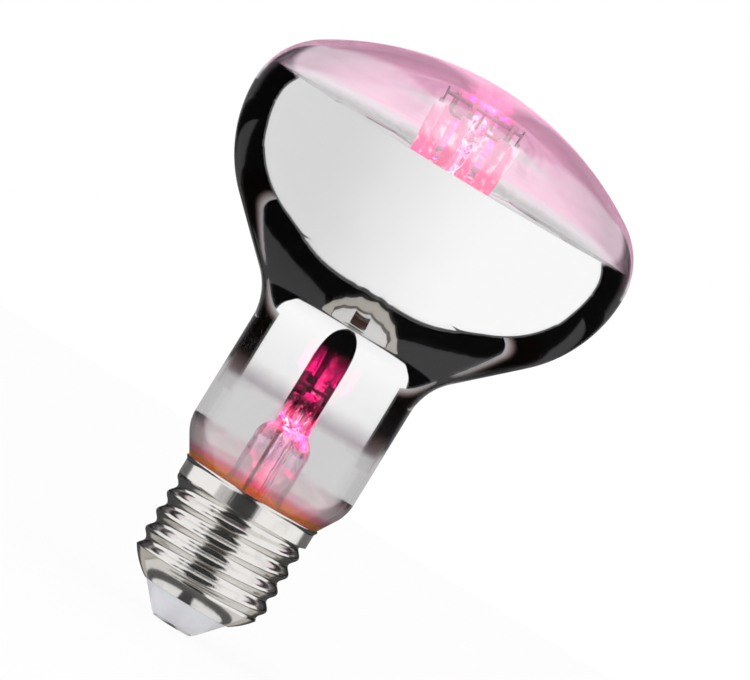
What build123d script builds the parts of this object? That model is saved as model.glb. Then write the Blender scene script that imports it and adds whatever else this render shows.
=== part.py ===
from build123d import *
import math
import os

os.makedirs("parts", exist_ok=True)

# Bulb outline
total_length = 111.6
bulb_diameter = 76.0
dome_height = 21.0
dome_radius = 58.5
bowl_radius = 26.0
cone_angle = 46.5
waist_radius = 11.0
neck_diameter = 32.75
foot_angle = 31.0
foot_round = 8.0
foot_rise = 5.3
foot_fillet = 2.0
tail_gap = 0.25
tail_overhang = 0.4
glass_wall = 0.9

# Mirror lining
mirror_edge_rise = 4.4
mirror_neck_rise = 10.2
mirror_film = 0.15

# Screw cap with the standard 27 mm knuckle thread, heights are above the end face of the centre contact
thread_pitch = 3.629
thread_diameter = 26.16
thread_root_diameter = 24.1
thread_phase_height = 7.19
shell_wall = 0.3
shell_end_height = 5.0
shell_end_diameter = 17.4
shell_end_round = 14.0
thread_full_diameter = 26.4
thread_full_height = 9.7
collar_diameter = 26.3
collar_low = 23.95
collar_length = 2.8
collar_step = 0.5
rim_diameter = 27.0
rim_flare = 0.5
rim_lip = 0.25

# Cap insulator and centre contact
insulator_end = 0.35
insulator_end_diameter = 8.5
insulator_end_round = 0.4
insulator_plug_gap = 0.1
insulator_flange_diameter = 19.2
insulator_flange_top = 7.6
insulator_cup_diameter = 17.4
insulator_cup_height = 9.4
insulator_cup_wall = 1.2
insulator_pocket_diameter = 12.4
insulator_pocket_floor = 3.8
insulator_ledge = 6.0
insulator_gap = 0.05
contact_diameter = 7.8
contact_edge_round = 0.2
contact_shank_diameter = 2.2
contact_shank_head = 0.8

# Basing cement
cement_depth = 0.95
cement_setback = 0.3

# Glass stem
stem_wall = 0.9
stem_tube_diameter = 10.8
stem_tube_length = 7.7
flare_inset = 0.8
press_angle = 60.0
press_width = 9.4
press_thickness = 3.2
press_round = 1.3
press_shoulder_rise = 3.8
press_bell_width = 10.3
press_bell_depth = 9.4
press_overlap = 0.4
press_length = 5.9
press_top_round = 0.5
stem_cavity_setback = 0.6
stem_cavity_margin = 0.6
exhaust_diameter = 3.6
exhaust_bore = 2.2
exhaust_drop = 5.4
exhaust_hole_diameter = 1.4
exhaust_hole_rise = 0.6
rod_diameter = 2.8
rod_setback = 3.0
button_diameter = 4.6

# Leads
lead_edge = 1.3
outer_lead_diameter = 0.7
outer_lead_bend_rise = 3.0
lead_pad_inset = 1.4
lead_pad_length = 2.0
seal_wire_diameter = 0.6
seal_wire_setback = 1.3
seal_bead_diameter = 1.2
seal_bead_setback = 0.9
inner_lead_diameter = 0.8
lead_bend = 1.5
weld_gap = 0.02

# Filaments and the wires that carry them
filament_count = 6
filament_first = 15.0
carrier_wire_diameter = 0.7
feed_arc_rise = 2.0
feed_arc_overrun = 7.0
hoop_radius = 7.5
hoop_setback = 5.4
hoop_support_count = 3
hoop_support_diameter = 0.6
hoop_support_depth = 1.1
hoop_support_first = 30.0
tab_width = 0.9
tab_thickness = 0.2
tab_length = 4.4
tab_overhang = 1.0
strip_thickness = 0.45
strip_setback = 1.4
coat_width = 2.0
coat_depth = 1.9
coat_round = 0.8
coat_setback = 2.2

# Driver in the cap, heights of its parts are above the ledge of the insulator
board_width = 12.0
board_height = 13.6
board_thickness = 1.0
board_front = -3.5
part_gap = 0.02
rectifier_length = 4.7
rectifier_thickness = 1.4
rectifier_height = 3.9
rectifier_x = -3.2
rectifier_rise = 10.4
chip_length = 4.9
chip_thickness = 1.5
chip_height = 3.9
chip_x = -3.1
chip_rise = 5.7
package_edge = 0.3
capacitor_diameter = 6.3
capacitor_length = 10.4
capacitor_edge_round = 0.6
capacitor_groove_radius = 0.45
capacitor_groove_depth = 0.3
capacitor_groove_height = 2.2
choke_diameter = 5.2
choke_height = 5.0
choke_waist_diameter = 4.2
choke_flange = 0.9
choke_x = 2.9
choke_rise = 8.8
resistor_diameter = 2.4
resistor_length = 5.6
resistor_waist = 0.2
resistor_cap = 1.2
resistor_lead_diameter = 0.5
resistor_lead_reach = 0.8
resistor_rise = 1.4
hook_wire_diameter = 0.6
hook_wire_bend = 0.6

# Heights that follow from the cap
collar_high = collar_low + collar_length
rim_height = collar_high + rim_flare + rim_lip
cement_low = collar_low - cement_depth
cement_high = rim_height - cement_setback
foot_corner_height = rim_height + foot_rise
tail_height = cement_low - tail_overhang
mirror_low = foot_corner_height + mirror_neck_rise
root_bore = thread_root_diameter / 2 - shell_wall

# Heights that follow from the top of the dome
equator_height = total_length - dome_height
mirror_high = equator_height + mirror_edge_rise
hoop_height = total_length - hoop_setback
rod_top = hoop_height - rod_setback

bulb_radius = bulb_diameter / 2
neck_radius = neck_diameter / 2
tail_radius = root_bore - tail_gap
cone = math.radians(cone_angle)
foot = math.radians(foot_angle)

# Where the tangent arcs of the outline meet
cone_high = (
    bulb_radius - bowl_radius * (1 - math.cos(cone)),
    equator_height - bowl_radius * math.sin(cone),
)
cone_corner = cone_high[1] - (cone_high[0] - neck_radius) / math.tan(cone)
waist_run = waist_radius * math.tan(cone / 2)
cone_low = (neck_radius + waist_run * math.sin(cone), cone_corner + waist_run * math.cos(cone))
foot_run = foot_round * math.tan(foot / 2)
foot_high = (
    neck_radius - foot_run * math.sin(foot),
    foot_corner_height - foot_run * math.cos(foot),
)
tail_corner = foot_corner_height - (neck_radius - tail_radius) / math.tan(foot)
tail_run = foot_fillet * math.tan(foot / 2)
foot_low = (tail_radius + tail_run * math.sin(foot), tail_corner + tail_run * math.cos(foot))
dome_centre = total_length - dome_radius
dome_rise = equator_height - dome_centre
shoulder_radius = (dome_radius**2 - bulb_radius**2 - dome_rise**2) / (2 * (dome_radius - bulb_radius))
shoulder_lean = -math.atan2(dome_rise, bulb_radius - shoulder_radius)
shoulder_high = (
    dome_radius * math.cos(shoulder_lean),
    dome_centre - dome_radius * math.sin(shoulder_lean),
)


def inward(point, lean, inset):
    """A point of the outline moved into the bulb, square to a wall leaning outwards by lean."""
    return (point[0] - inset * math.cos(lean), point[1] + inset * math.sin(lean))


def draw_foot(inset, low, high):
    """Tail and foot of the glass from one height up to another on the sloping foot."""
    start = (tail_radius - inset, low)
    tail_high = (tail_radius - inset, tail_corner - tail_run)
    slope_low = inward(foot_low, foot, inset)
    slope_high = (slope_low[0] + (high - slope_low[1]) * math.tan(foot), high)
    Line(start, tail_high)
    RadiusArc(tail_high, slope_low, foot_fillet + inset)
    Line(slope_low, slope_high)
    return start, slope_high


def draw_bowl(inset, low):
    """Neck, waist and bowl from a height on the neck up to the equator."""
    start = (neck_radius - inset, low)
    neck_high = (neck_radius - inset, cone_corner - waist_run)
    slope_low = inward(cone_low, cone, inset)
    slope_high = inward(cone_high, cone, inset)
    equator = (bulb_radius - inset, equator_height)
    Line(start, neck_high)
    RadiusArc(neck_high, slope_low, waist_radius + inset)
    Line(slope_low, slope_high)
    RadiusArc(slope_high, equator, -(bowl_radius - inset))
    return start, equator


def draw_outline(inset):
    """The whole outline of the glass, from the tail to the top of the dome."""
    neck_low = (neck_radius - inset, foot_corner_height + foot_run)
    slope_high = inward(foot_high, foot, inset)
    start, _ = draw_foot(inset, tail_height, slope_high[1])
    RadiusArc(slope_high, neck_low, -(foot_round - inset))
    _, equator = draw_bowl(inset, neck_low[1])
    shoulder = inward(shoulder_high, shoulder_lean, inset)
    top = (0, total_length - inset)
    RadiusArc(equator, shoulder, -(shoulder_radius - inset))
    RadiusArc(shoulder, top, -(dome_radius - inset))
    return start, top


def polar(radius, angle, height):
    """A point at a distance from the bulb axis, in degrees round it, at a height."""
    turn = math.radians(angle)
    return (radius * math.cos(turn), radius * math.sin(turn), height)


# Glass bulb, blown in one piece
with BuildPart() as glass_bulb:
    with BuildSketch(Plane.XZ):
        with BuildLine():
            outer_start, outer_top = draw_outline(0)
            inner_start, inner_top = draw_outline(glass_wall)
            Line(outer_start, inner_start)
            Line(outer_top, inner_top)
        make_face()
    revolve(axis=Axis.Z)
glass_bulb.part.label = "glass_bulb"
export_step(glass_bulb.part, "parts/glass_bulb.step")


def shoulder_point(inset, height):
    """Point of the shoulder arc at a height above the equator."""
    reach = math.sqrt((shoulder_radius - inset) ** 2 - (height - equator_height) ** 2)
    return (bulb_radius - shoulder_radius + reach, height)


# Mirror lining, face to face with the glass
with BuildPart() as mirror_coating:
    with BuildSketch(Plane.XZ):
        with BuildLine():
            rims = []
            for depth in (glass_wall, glass_wall + mirror_film):
                start, equator = draw_bowl(depth, mirror_low)
                edge = shoulder_point(depth, mirror_high)
                RadiusArc(equator, edge, -(shoulder_radius - depth))
                rims.append((start, edge))
            Line(rims[0][0], rims[1][0])
            Line(rims[0][1], rims[1][1])
        make_face()
    revolve(axis=Axis.Z)
mirror_coating.part.label = "mirror_coating"
export_step(mirror_coating.part, "parts/mirror_coating.step")

# Glass stem: flare, tube, press, exhaust tube and rod, fused
flare_radius = tail_radius - glass_wall
stem_radius = stem_tube_diameter / 2
flare_round = flare_radius - stem_radius
flare_low = tail_height + flare_inset
flare_high = flare_low + stem_wall
stem_tube_low = flare_high + flare_round
stem_tube_high = stem_tube_low + stem_tube_length
stem_bore = stem_radius - stem_wall
press_shoulder = stem_tube_high + press_shoulder_rise
press_top = press_shoulder + press_length
stem_cavity_top = press_shoulder - stem_cavity_setback
exhaust_low = tail_height - exhaust_drop + exhaust_diameter / 2
exhaust_hole_height = press_shoulder + exhaust_hole_rise
seal_bead_height = stem_cavity_top - seal_bead_setback
seal_wire_top = press_top - seal_wire_setback
lead_offset = press_width / 2 - lead_edge
press_frame = Plane.XY.rotated((0, 0, press_angle))
lead_angles = {"plus": press_angle, "minus": press_angle + 180}
hoop_support_angles = [hoop_support_first + k * 360 / hoop_support_count for k in range(hoop_support_count)]
with BuildPart() as glass_stem:
    with BuildSketch(Plane.XZ):
        with BuildLine():
            Polyline((stem_bore, stem_tube_low), (stem_bore, stem_tube_high), (stem_radius, stem_tube_high))
            Line((stem_radius, stem_tube_high), (stem_radius, stem_tube_low))
            RadiusArc((stem_radius, stem_tube_low), (flare_radius, flare_high), -flare_round)
            Line((flare_radius, flare_high), (flare_radius, flare_low))
            RadiusArc((flare_radius, flare_low), (stem_bore, stem_tube_low), flare_round + stem_wall)
        make_face()
    revolve(axis=Axis.Z)
    # Bell-shaped shoulder that closes from the round tube to the flat press
    with BuildSketch(Plane.XY.offset(stem_tube_high)):
        Circle(stem_radius)
    with BuildSketch(press_frame.offset((stem_tube_high + press_shoulder) / 2)):
        Ellipse(press_bell_width / 2, press_bell_depth / 2)
    with BuildSketch(press_frame.offset(press_shoulder)):
        Ellipse(press_width / 2, press_thickness / 2 + press_overlap)
    loft()
    with BuildSketch(press_frame.offset(press_shoulder - press_overlap)):
        RectangleRounded(press_width, press_thickness, press_round)
    extrude(amount=press_top - press_shoulder + press_overlap)
    fillet(glass_stem.faces().sort_by(Axis.Z)[-1].edges(), press_top_round)
    with BuildSketch(Plane.XY.offset(stem_tube_high)):
        Circle(stem_bore)
    with BuildSketch(press_frame.offset((stem_tube_high + stem_cavity_top) / 2)):
        Ellipse(press_bell_width / 2 - stem_wall, press_bell_depth / 2 - stem_wall)
    with BuildSketch(press_frame.offset(stem_cavity_top)):
        Ellipse(press_width / 2 - stem_cavity_margin, press_thickness / 2 - stem_cavity_margin)
    loft(mode=Mode.SUBTRACT)
    # Exhaust tube with its sealed tip, bore and side hole
    with BuildSketch(Plane.XY.offset(exhaust_low)):
        Circle(exhaust_diameter / 2)
    extrude(amount=press_shoulder - exhaust_low)
    with Locations((0, 0, exhaust_low)):
        Sphere(exhaust_diameter / 2)
    with BuildSketch(Plane.XY.offset(exhaust_low)):
        Circle(exhaust_bore / 2)
    extrude(amount=exhaust_hole_height - exhaust_low, mode=Mode.SUBTRACT)
    with BuildSketch(Plane(origin=(0, 0, exhaust_hole_height), z_dir=polar(1, press_angle + 90, 0))):
        Circle(exhaust_hole_diameter / 2)
    extrude(amount=press_thickness, mode=Mode.SUBTRACT)
    # Upright rod with the button that holds the hoop supports
    with BuildSketch(Plane.XY.offset(press_top - press_top_round)):
        Circle(rod_diameter / 2)
    extrude(amount=rod_top - press_top + press_top_round)
    with Locations((0, 0, rod_top)):
        Sphere(button_diameter / 2)
    # Holes for the seal wires, the inner leads and the hoop supports
    for angle in lead_angles.values():
        with BuildSketch(Plane(origin=polar(lead_offset, angle, seal_bead_height))):
            Circle(seal_wire_diameter / 2)
        extrude(amount=seal_wire_top - seal_bead_height, mode=Mode.SUBTRACT)
        with BuildSketch(Plane(origin=polar(lead_offset, angle, seal_wire_top))):
            Circle(inner_lead_diameter / 2)
        extrude(amount=press_top - seal_wire_top + 1, mode=Mode.SUBTRACT)
    for angle in hoop_support_angles:
        start = polar(button_diameter / 2 - hoop_support_depth, angle, rod_top)
        with BuildSketch(Plane(origin=start, z_dir=polar(1, angle, 0))):
            Circle(hoop_support_diameter / 2)
        extrude(amount=hoop_support_depth, mode=Mode.SUBTRACT)
glass_stem.part.label = "glass_stem"
export_step(glass_stem.part, "parts/glass_stem.step")

# Seal wires with the bead where they enter the press
for sign, angle in lead_angles.items():
    with BuildPart() as seal_wire:
        with BuildSketch(Plane(origin=polar(lead_offset, angle, seal_bead_height))):
            Circle(seal_wire_diameter / 2)
        extrude(amount=seal_wire_top - seal_bead_height)
        with Locations(polar(lead_offset, angle, seal_bead_height)):
            Sphere(seal_bead_diameter / 2)
    seal_wire.part.label = f"seal_wire_{sign}"
    export_step(seal_wire.part, f"parts/seal_wire_{sign}.step")

# Feed arcs under the filaments, each on the end of an inner lead, and the hoop over them
carrier_radius = carrier_wire_diameter / 2
feed_arc_height = press_top + feed_arc_rise
feed_arc_radius = lead_offset
filament_step = 360 / filament_count
for sign, half_turn in (("plus", 0), ("minus", 180)):
    first = filament_first + half_turn - feed_arc_overrun
    with BuildPart() as feed_arc:
        with BuildSketch(Plane((0, 0, 0), x_dir=polar(1, first, 0), z_dir=polar(1, first - 90, 0))):
            with Locations((feed_arc_radius, feed_arc_height)):
                Circle(carrier_radius)
        revolve(axis=Axis.Z, revolution_arc=180 - filament_step + 2 * feed_arc_overrun)
    feed_arc.part.label = f"feed_arc_{sign}"
    export_step(feed_arc.part, f"parts/feed_arc_{sign}.step")

for sign, angle in lead_angles.items():
    with BuildPart() as inner_lead:
        with BuildSketch(Plane(origin=polar(lead_offset, angle, seal_wire_top))):
            Circle(inner_lead_diameter / 2)
        extrude(amount=feed_arc_height - carrier_radius - weld_gap - seal_wire_top)
    inner_lead.part.label = f"inner_lead_{sign}"
    export_step(inner_lead.part, f"parts/inner_lead_{sign}.step")

with BuildPart() as top_hoop:
    with BuildSketch(Plane.XZ):
        with Locations((hoop_radius, hoop_height)):
            Circle(carrier_radius)
    revolve(axis=Axis.Z)
top_hoop.part.label = "top_hoop"
export_step(top_hoop.part, "parts/top_hoop.step")

# LED filaments, each leaning out from its feed arc to the hoop
filament_rise = hoop_height - feed_arc_height
filament_lean = math.atan2(hoop_radius - feed_arc_radius, filament_rise)
filament_span = math.hypot(hoop_radius - feed_arc_radius, filament_rise)
weld_offset = carrier_radius + weld_gap
coat_back = (coat_depth - strip_thickness - tab_thickness) / 2
for k in range(filament_count):
    angle = filament_first + k * filament_step
    weld_radius = feed_arc_radius + weld_offset * math.cos(filament_lean)
    weld_height = feed_arc_height - weld_offset * math.sin(filament_lean)
    upright = polar(math.sin(filament_lean), angle, math.cos(filament_lean))
    frame = Plane(polar(weld_radius, angle, weld_height), x_dir=polar(1, angle - 90, 0), z_dir=upright)
    number = k + 1

    with BuildPart() as filament_tabs:
        for low in (-tab_overhang, filament_span + tab_overhang - tab_length):
            with BuildSketch(frame.offset(low)):
                with Locations((0, tab_thickness / 2)):
                    Rectangle(tab_width, tab_thickness)
            extrude(amount=tab_length)
    filament_tabs.part.label = f"filament_tabs_{number}"
    export_step(filament_tabs.part, f"parts/filament_tabs_{number}.step")

    with BuildPart() as filament_strip:
        with BuildSketch(frame.offset(strip_setback)):
            with Locations((0, tab_thickness + strip_thickness / 2)):
                Rectangle(tab_width, strip_thickness)
        extrude(amount=filament_span - 2 * strip_setback)
    filament_strip.part.label = f"filament_strip_{number}"
    export_step(filament_strip.part, f"parts/filament_strip_{number}.step")

    with BuildPart() as filament_coat:
        with BuildSketch(frame.offset(coat_setback)):
            with Locations((0, coat_depth / 2 - coat_back)):
                RectangleRounded(coat_width, coat_depth, coat_round)
        extrude(amount=filament_span - 2 * coat_setback)
        add(filament_tabs.part, mode=Mode.SUBTRACT)
        add(filament_strip.part, mode=Mode.SUBTRACT)
    filament_coat.part.label = f"filament_coat_{number}"
    export_step(filament_coat.part, f"parts/filament_coat_{number}.step")

# Screw shell: a circle carried round a small helix leaves the rounded knuckle thread
thread_throw = (thread_diameter - thread_root_diameter) / 4
thread_mean = (thread_diameter + thread_root_diameter) / 4
thread_low = thread_phase_height - thread_pitch
collar_radius = collar_diameter / 2
rim_radius = rim_diameter / 2
flare_slope = (rim_radius - collar_radius) / rim_flare
shell_end_radius = shell_end_diameter / 2
shell_edge = (shell_end_radius - shell_wall, shell_end_height + shell_wall)
shell_floor = (root_bore, shell_end_height + shell_wall + root_bore - shell_edge[0])
with BuildPart() as screw_shell:
    with BuildLine() as thread_run:
        Helix(thread_pitch, collar_low + shell_wall - thread_low, thread_throw, center=(0, 0, thread_low))
    with BuildSketch(Plane(origin=thread_run.line @ 0)):
        Circle(thread_mean)
    sweep(path=thread_run.line, normal=(0, 0, 1))
    # Rounded lower end
    with BuildSketch(Plane.XZ):
        with BuildLine():
            Line((0, shell_end_height), (shell_end_radius, shell_end_height))
            RadiusArc(
                (shell_end_radius, shell_end_height),
                (thread_full_diameter / 2, thread_full_height),
                -shell_end_round,
            )
            Polyline(
                (thread_full_diameter / 2, thread_full_height),
                (thread_full_diameter / 2, collar_high),
                (0, collar_high),
                (0, shell_end_height),
            )
        make_face()
    revolve(axis=Axis.Z, mode=Mode.INTERSECT)
    # Plain collar and flared rim
    with BuildSketch(Plane.XZ):
        with BuildLine():
            Polyline(
                (0, collar_low - collar_step),
                (root_bore, collar_low - collar_step),
                (collar_radius, collar_low),
                (collar_radius, collar_high),
                (rim_radius, collar_high + rim_flare),
                (rim_radius, rim_height),
                (0, rim_height),
                close=True,
            )
        make_face()
    revolve(axis=Axis.Z)
    # Bore, and the opening for the insulator
    with BuildSketch(Plane.XZ):
        with BuildLine():
            Polyline(
                (0, shell_end_height - shell_wall),
                (shell_edge[0], shell_end_height - shell_wall),
                shell_edge,
                shell_floor,
                (root_bore, collar_low - collar_step + shell_wall),
                (collar_radius - shell_wall, collar_low + shell_wall),
                (collar_radius - shell_wall, collar_high),
                (rim_radius - shell_wall, collar_high + rim_flare),
                (rim_radius - shell_wall, rim_height + shell_wall),
                (0, rim_height + shell_wall),
                close=True,
            )
        make_face()
    revolve(axis=Axis.Z, mode=Mode.SUBTRACT)
screw_shell.part.label = "screw_shell"
export_step(screw_shell.part, "parts/screw_shell.step")

# Cap insulator, moulded plug seated on the shell's turned-in end
plug_radius = shell_edge[0] - insulator_plug_gap
flange_radius = insulator_flange_diameter / 2
cup_radius = insulator_cup_diameter / 2
pocket_radius = insulator_pocket_diameter / 2
seat_height = shell_edge[1] - shell_edge[0] + 2 * insulator_gap
with BuildPart() as cap_insulator:
    with BuildSketch(Plane.XZ):
        with BuildLine():
            Polyline(
                (0, insulator_end),
                (insulator_end_diameter / 2, insulator_end),
                (plug_radius, shell_end_height - insulator_gap),
                (plug_radius, seat_height + plug_radius),
                (flange_radius, seat_height + flange_radius),
                (flange_radius, insulator_flange_top),
                (cup_radius, insulator_flange_top),
                (cup_radius, insulator_cup_height),
                (cup_radius - insulator_cup_wall, insulator_cup_height),
                (cup_radius - insulator_cup_wall, insulator_ledge),
                (pocket_radius, insulator_ledge),
                (pocket_radius, insulator_pocket_floor),
                (0, insulator_pocket_floor),
                close=True,
            )
        make_face()
    revolve(axis=Axis.Z)
    fillet(cap_insulator.edges().filter_by(GeomType.CIRCLE).sort_by(Axis.Z)[0], insulator_end_round)
    with BuildSketch(Plane.XY):
        Circle(contact_shank_diameter / 2)
    extrude(amount=insulator_ledge, mode=Mode.SUBTRACT)
cap_insulator.part.label = "cap_insulator"
export_step(cap_insulator.part, "parts/cap_insulator.step")

# Centre contact, a flat rivet
contact_top = insulator_pocket_floor + contact_shank_head
with BuildPart() as centre_contact:
    with BuildSketch(Plane.XY):
        Circle(contact_diameter / 2)
    extrude(amount=insulator_end)
    fillet(centre_contact.edges().filter_by(GeomType.CIRCLE).sort_by(Axis.Z)[0], contact_edge_round)
    with BuildSketch(Plane.XY.offset(insulator_end)):
        Circle(contact_shank_diameter / 2)
    extrude(amount=contact_top - insulator_end)
centre_contact.part.label = "centre_contact"
export_step(centre_contact.part, "parts/centre_contact.step")

# Basing cement between the shell's collar and the foot of the glass
with BuildPart() as basing_cement:
    with BuildSketch(Plane.XZ):
        with BuildLine():
            low_point, high_point = draw_foot(0, cement_low, cement_high)
            Polyline(
                low_point,
                (root_bore, cement_low),
                (root_bore, collar_low - collar_step + shell_wall),
                (collar_radius - shell_wall, collar_low + shell_wall),
                (collar_radius - shell_wall, collar_high),
                (collar_radius - shell_wall + (cement_high - collar_high) * flare_slope, cement_high),
                high_point,
            )
        make_face()
    revolve(axis=Axis.Z)
basing_cement.part.label = "basing_cement"
export_step(basing_cement.part, "parts/basing_cement.step")

# Driver board, standing on the ledge of the insulator
board_back = board_front + board_thickness
board_middle = (board_front + board_back) / 2
board_top = insulator_ledge + board_height
rectifier_z = insulator_ledge + rectifier_rise
chip_z = insulator_ledge + chip_rise
choke_z = insulator_ledge + choke_rise
resistor_z = insulator_ledge + resistor_rise
with BuildPart() as driver_board:
    with BuildSketch(Plane.XY.offset(insulator_ledge)):
        with Locations((0, board_middle)):
            Rectangle(board_width, board_thickness)
    extrude(amount=board_height)
driver_board.part.label = "driver_board"
export_step(driver_board.part, "parts/driver_board.step")

face_frame = Plane((0, board_front - part_gap, 0), x_dir=(1, 0, 0), z_dir=(0, -1, 0))
with BuildPart() as bridge_rectifier:
    with BuildSketch(face_frame):
        with Locations((rectifier_x, rectifier_z)):
            Rectangle(rectifier_length, rectifier_height)
    extrude(amount=rectifier_thickness)
    chamfer(bridge_rectifier.faces().sort_by(Axis.Y)[0].edges(), package_edge)
bridge_rectifier.part.label = "bridge_rectifier"
export_step(bridge_rectifier.part, "parts/bridge_rectifier.step")

with BuildPart() as driver_chip:
    with BuildSketch(face_frame):
        with Locations((chip_x, chip_z)):
            Rectangle(chip_length, chip_height)
    extrude(amount=chip_thickness)
    chamfer(driver_chip.faces().sort_by(Axis.Y)[0].edges(), package_edge)
driver_chip.part.label = "driver_chip"
export_step(driver_chip.part, "parts/driver_chip.step")

with BuildPart() as choke:
    with BuildSketch(face_frame):
        with Locations((choke_x, choke_z)):
            Circle(choke_diameter / 2)
    extrude(amount=choke_height)
    with BuildSketch(face_frame.offset(choke_flange)):
        with Locations((choke_x, choke_z)):
            Circle(choke_diameter)
            Circle(choke_waist_diameter / 2, mode=Mode.SUBTRACT)
    extrude(amount=choke_height - 2 * choke_flange, mode=Mode.SUBTRACT)
choke.part.label = "choke"
export_step(choke.part, "parts/choke.step")

capacitor_y = board_back + part_gap + capacitor_diameter / 2
groove_reach = capacitor_diameter / 2 + capacitor_groove_radius - capacitor_groove_depth
with BuildPart() as smoothing_capacitor:
    with BuildSketch(Plane.XY.offset(insulator_ledge)):
        with Locations((0, capacitor_y)):
            Circle(capacitor_diameter / 2)
    extrude(amount=capacitor_length)
    fillet(smoothing_capacitor.faces().sort_by(Axis.Z)[-1].edges(), capacitor_edge_round)
    with BuildSketch(Plane((0, capacitor_y, 0), x_dir=(1, 0, 0), z_dir=(0, -1, 0))):
        with Locations((groove_reach, insulator_ledge + capacitor_groove_height)):
            Circle(capacitor_groove_radius)
    revolve(axis=Axis((0, capacitor_y, 0), (0, 0, 1)), mode=Mode.SUBTRACT)
smoothing_capacitor.part.label = "smoothing_capacitor"
export_step(smoothing_capacitor.part, "parts/smoothing_capacitor.step")

# Fuse resistor lying along the board, one lead bent back to it
resistor_y = board_front - part_gap - resistor_diameter / 2
resistor_end = resistor_length / 2
resistor_turn = resistor_end + resistor_lead_reach
resistor_side = resistor_y + resistor_diameter / 2
resistor_shoulder = resistor_end - resistor_cap
resistor_barrel = resistor_shoulder - resistor_waist
with BuildPart() as fuse_resistor:
    with BuildSketch(Plane.XY.offset(resistor_z)):
        with BuildLine():
            Polyline(
                (-resistor_end, resistor_y),
                (-resistor_end, resistor_side),
                (-resistor_shoulder, resistor_side),
                (-resistor_barrel, resistor_side - resistor_waist),
                (resistor_barrel, resistor_side - resistor_waist),
                (resistor_shoulder, resistor_side),
                (resistor_end, resistor_side),
                (resistor_end, resistor_y),
                close=True,
            )
        make_face()
    revolve(axis=Axis((0, resistor_y, resistor_z), (1, 0, 0)))
    with BuildSketch(Plane((-resistor_turn, resistor_y, resistor_z), z_dir=(1, 0, 0))):
        Circle(resistor_lead_diameter / 2)
    extrude(amount=resistor_lead_reach)
    with BuildLine() as lead_run:
        FilletPolyline(
            (resistor_end, resistor_y, resistor_z),
            (resistor_turn, resistor_y, resistor_z),
            (resistor_turn, board_front - part_gap, resistor_z),
            radius=resistor_lead_diameter,
        )
    with BuildSketch(Plane((resistor_end, resistor_y, resistor_z), z_dir=(1, 0, 0))):
        Circle(resistor_lead_diameter / 2)
    sweep(path=lead_run.line)
fuse_resistor.part.label = "fuse_resistor"
export_step(fuse_resistor.part, "parts/fuse_resistor.step")

# Bent wires: leads, hoop supports and the two wires to the cap
lead_top = seal_bead_height - seal_bead_diameter / 2 - weld_gap
hoop_weld = hoop_radius - carrier_radius - hoop_support_diameter / 2 - weld_gap
hook_radius = hook_wire_diameter / 2
lead_wall = board_back + outer_lead_diameter / 2 + part_gap
lead_pads = {"plus": board_width / 2 - lead_pad_inset, "minus": lead_pad_inset - board_width / 2}
resistor_tip = -resistor_turn - hook_radius - weld_gap
shell_touch = math.sqrt((root_bore - hook_radius - weld_gap) ** 2 - board_middle**2)
wires = {
    "contact_wire": (
        hook_wire_diameter,
        hook_wire_bend,
        [
            (0, 0, contact_top + weld_gap),
            (0, 0, insulator_ledge - 2 * hook_radius),
            (resistor_tip, board_front, insulator_ledge - 2 * hook_radius),
            (resistor_tip, resistor_y, insulator_ledge + 2 * hook_radius),
            (resistor_tip, resistor_y, resistor_z + 2 * hook_radius),
        ],
    ),
    "shell_wire": (
        hook_wire_diameter,
        hook_wire_bend,
        [
            (-board_width / 2 - weld_gap, board_middle, chip_z),
            (-shell_touch, board_middle, chip_z),
            (-shell_touch, board_middle, insulator_cup_height),
        ],
    ),
}
for sign, angle in lead_angles.items():
    wires[f"outer_lead_{sign}"] = (
        outer_lead_diameter,
        lead_bend,
        [
            polar(lead_offset, angle, lead_top),
            polar(lead_offset, angle, board_top + outer_lead_bend_rise),
            (lead_pads[sign], lead_wall, board_top + outer_lead_diameter),
            (lead_pads[sign], lead_wall, board_top - lead_pad_length),
        ],
    )
for k, angle in enumerate(hoop_support_angles):
    wires[f"hoop_support_{k + 1}"] = (
        hoop_support_diameter,
        lead_bend,
        [
            polar(button_diameter / 2 - hoop_support_depth, angle, rod_top),
            polar(hoop_weld, angle, rod_top),
            polar(hoop_weld, angle, hoop_height + hoop_support_diameter),
        ],
    )
for name, (diameter, bend, points) in wires.items():
    with BuildPart() as bent_wire:
        with BuildLine() as wire_run:
            FilletPolyline(*points, radius=bend)
        with BuildSketch(Plane(origin=wire_run.line @ 0, z_dir=wire_run.line % 0)):
            Circle(diameter / 2)
        sweep(path=wire_run.line)
    bent_wire.part.label = name
    export_step(bent_wire.part, f"parts/{name}.step")
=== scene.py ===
"""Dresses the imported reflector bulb: blown glass, mirror film, lit filaments and nickel screw cap."""

import math

import bpy
from mathutils import Matrix, Vector


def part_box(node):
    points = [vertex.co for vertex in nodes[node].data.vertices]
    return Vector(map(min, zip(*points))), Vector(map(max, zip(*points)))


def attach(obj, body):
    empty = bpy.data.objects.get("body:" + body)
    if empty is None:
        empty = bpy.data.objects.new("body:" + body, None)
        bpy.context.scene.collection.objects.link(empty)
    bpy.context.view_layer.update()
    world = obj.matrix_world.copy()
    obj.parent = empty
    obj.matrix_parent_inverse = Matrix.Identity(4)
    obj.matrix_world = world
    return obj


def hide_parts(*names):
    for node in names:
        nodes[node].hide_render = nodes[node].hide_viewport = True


bl_info = {
    "name": "Reflector Grow Bulb",
    "version": (1, 0, 0),
    "blender": (4, 5, 0),
    "location": "View3D > Sidebar > Bulb",
    "description": "Finishes a mirrored filament grow bulb and its studio stage",
    "category": "Object",
}

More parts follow.
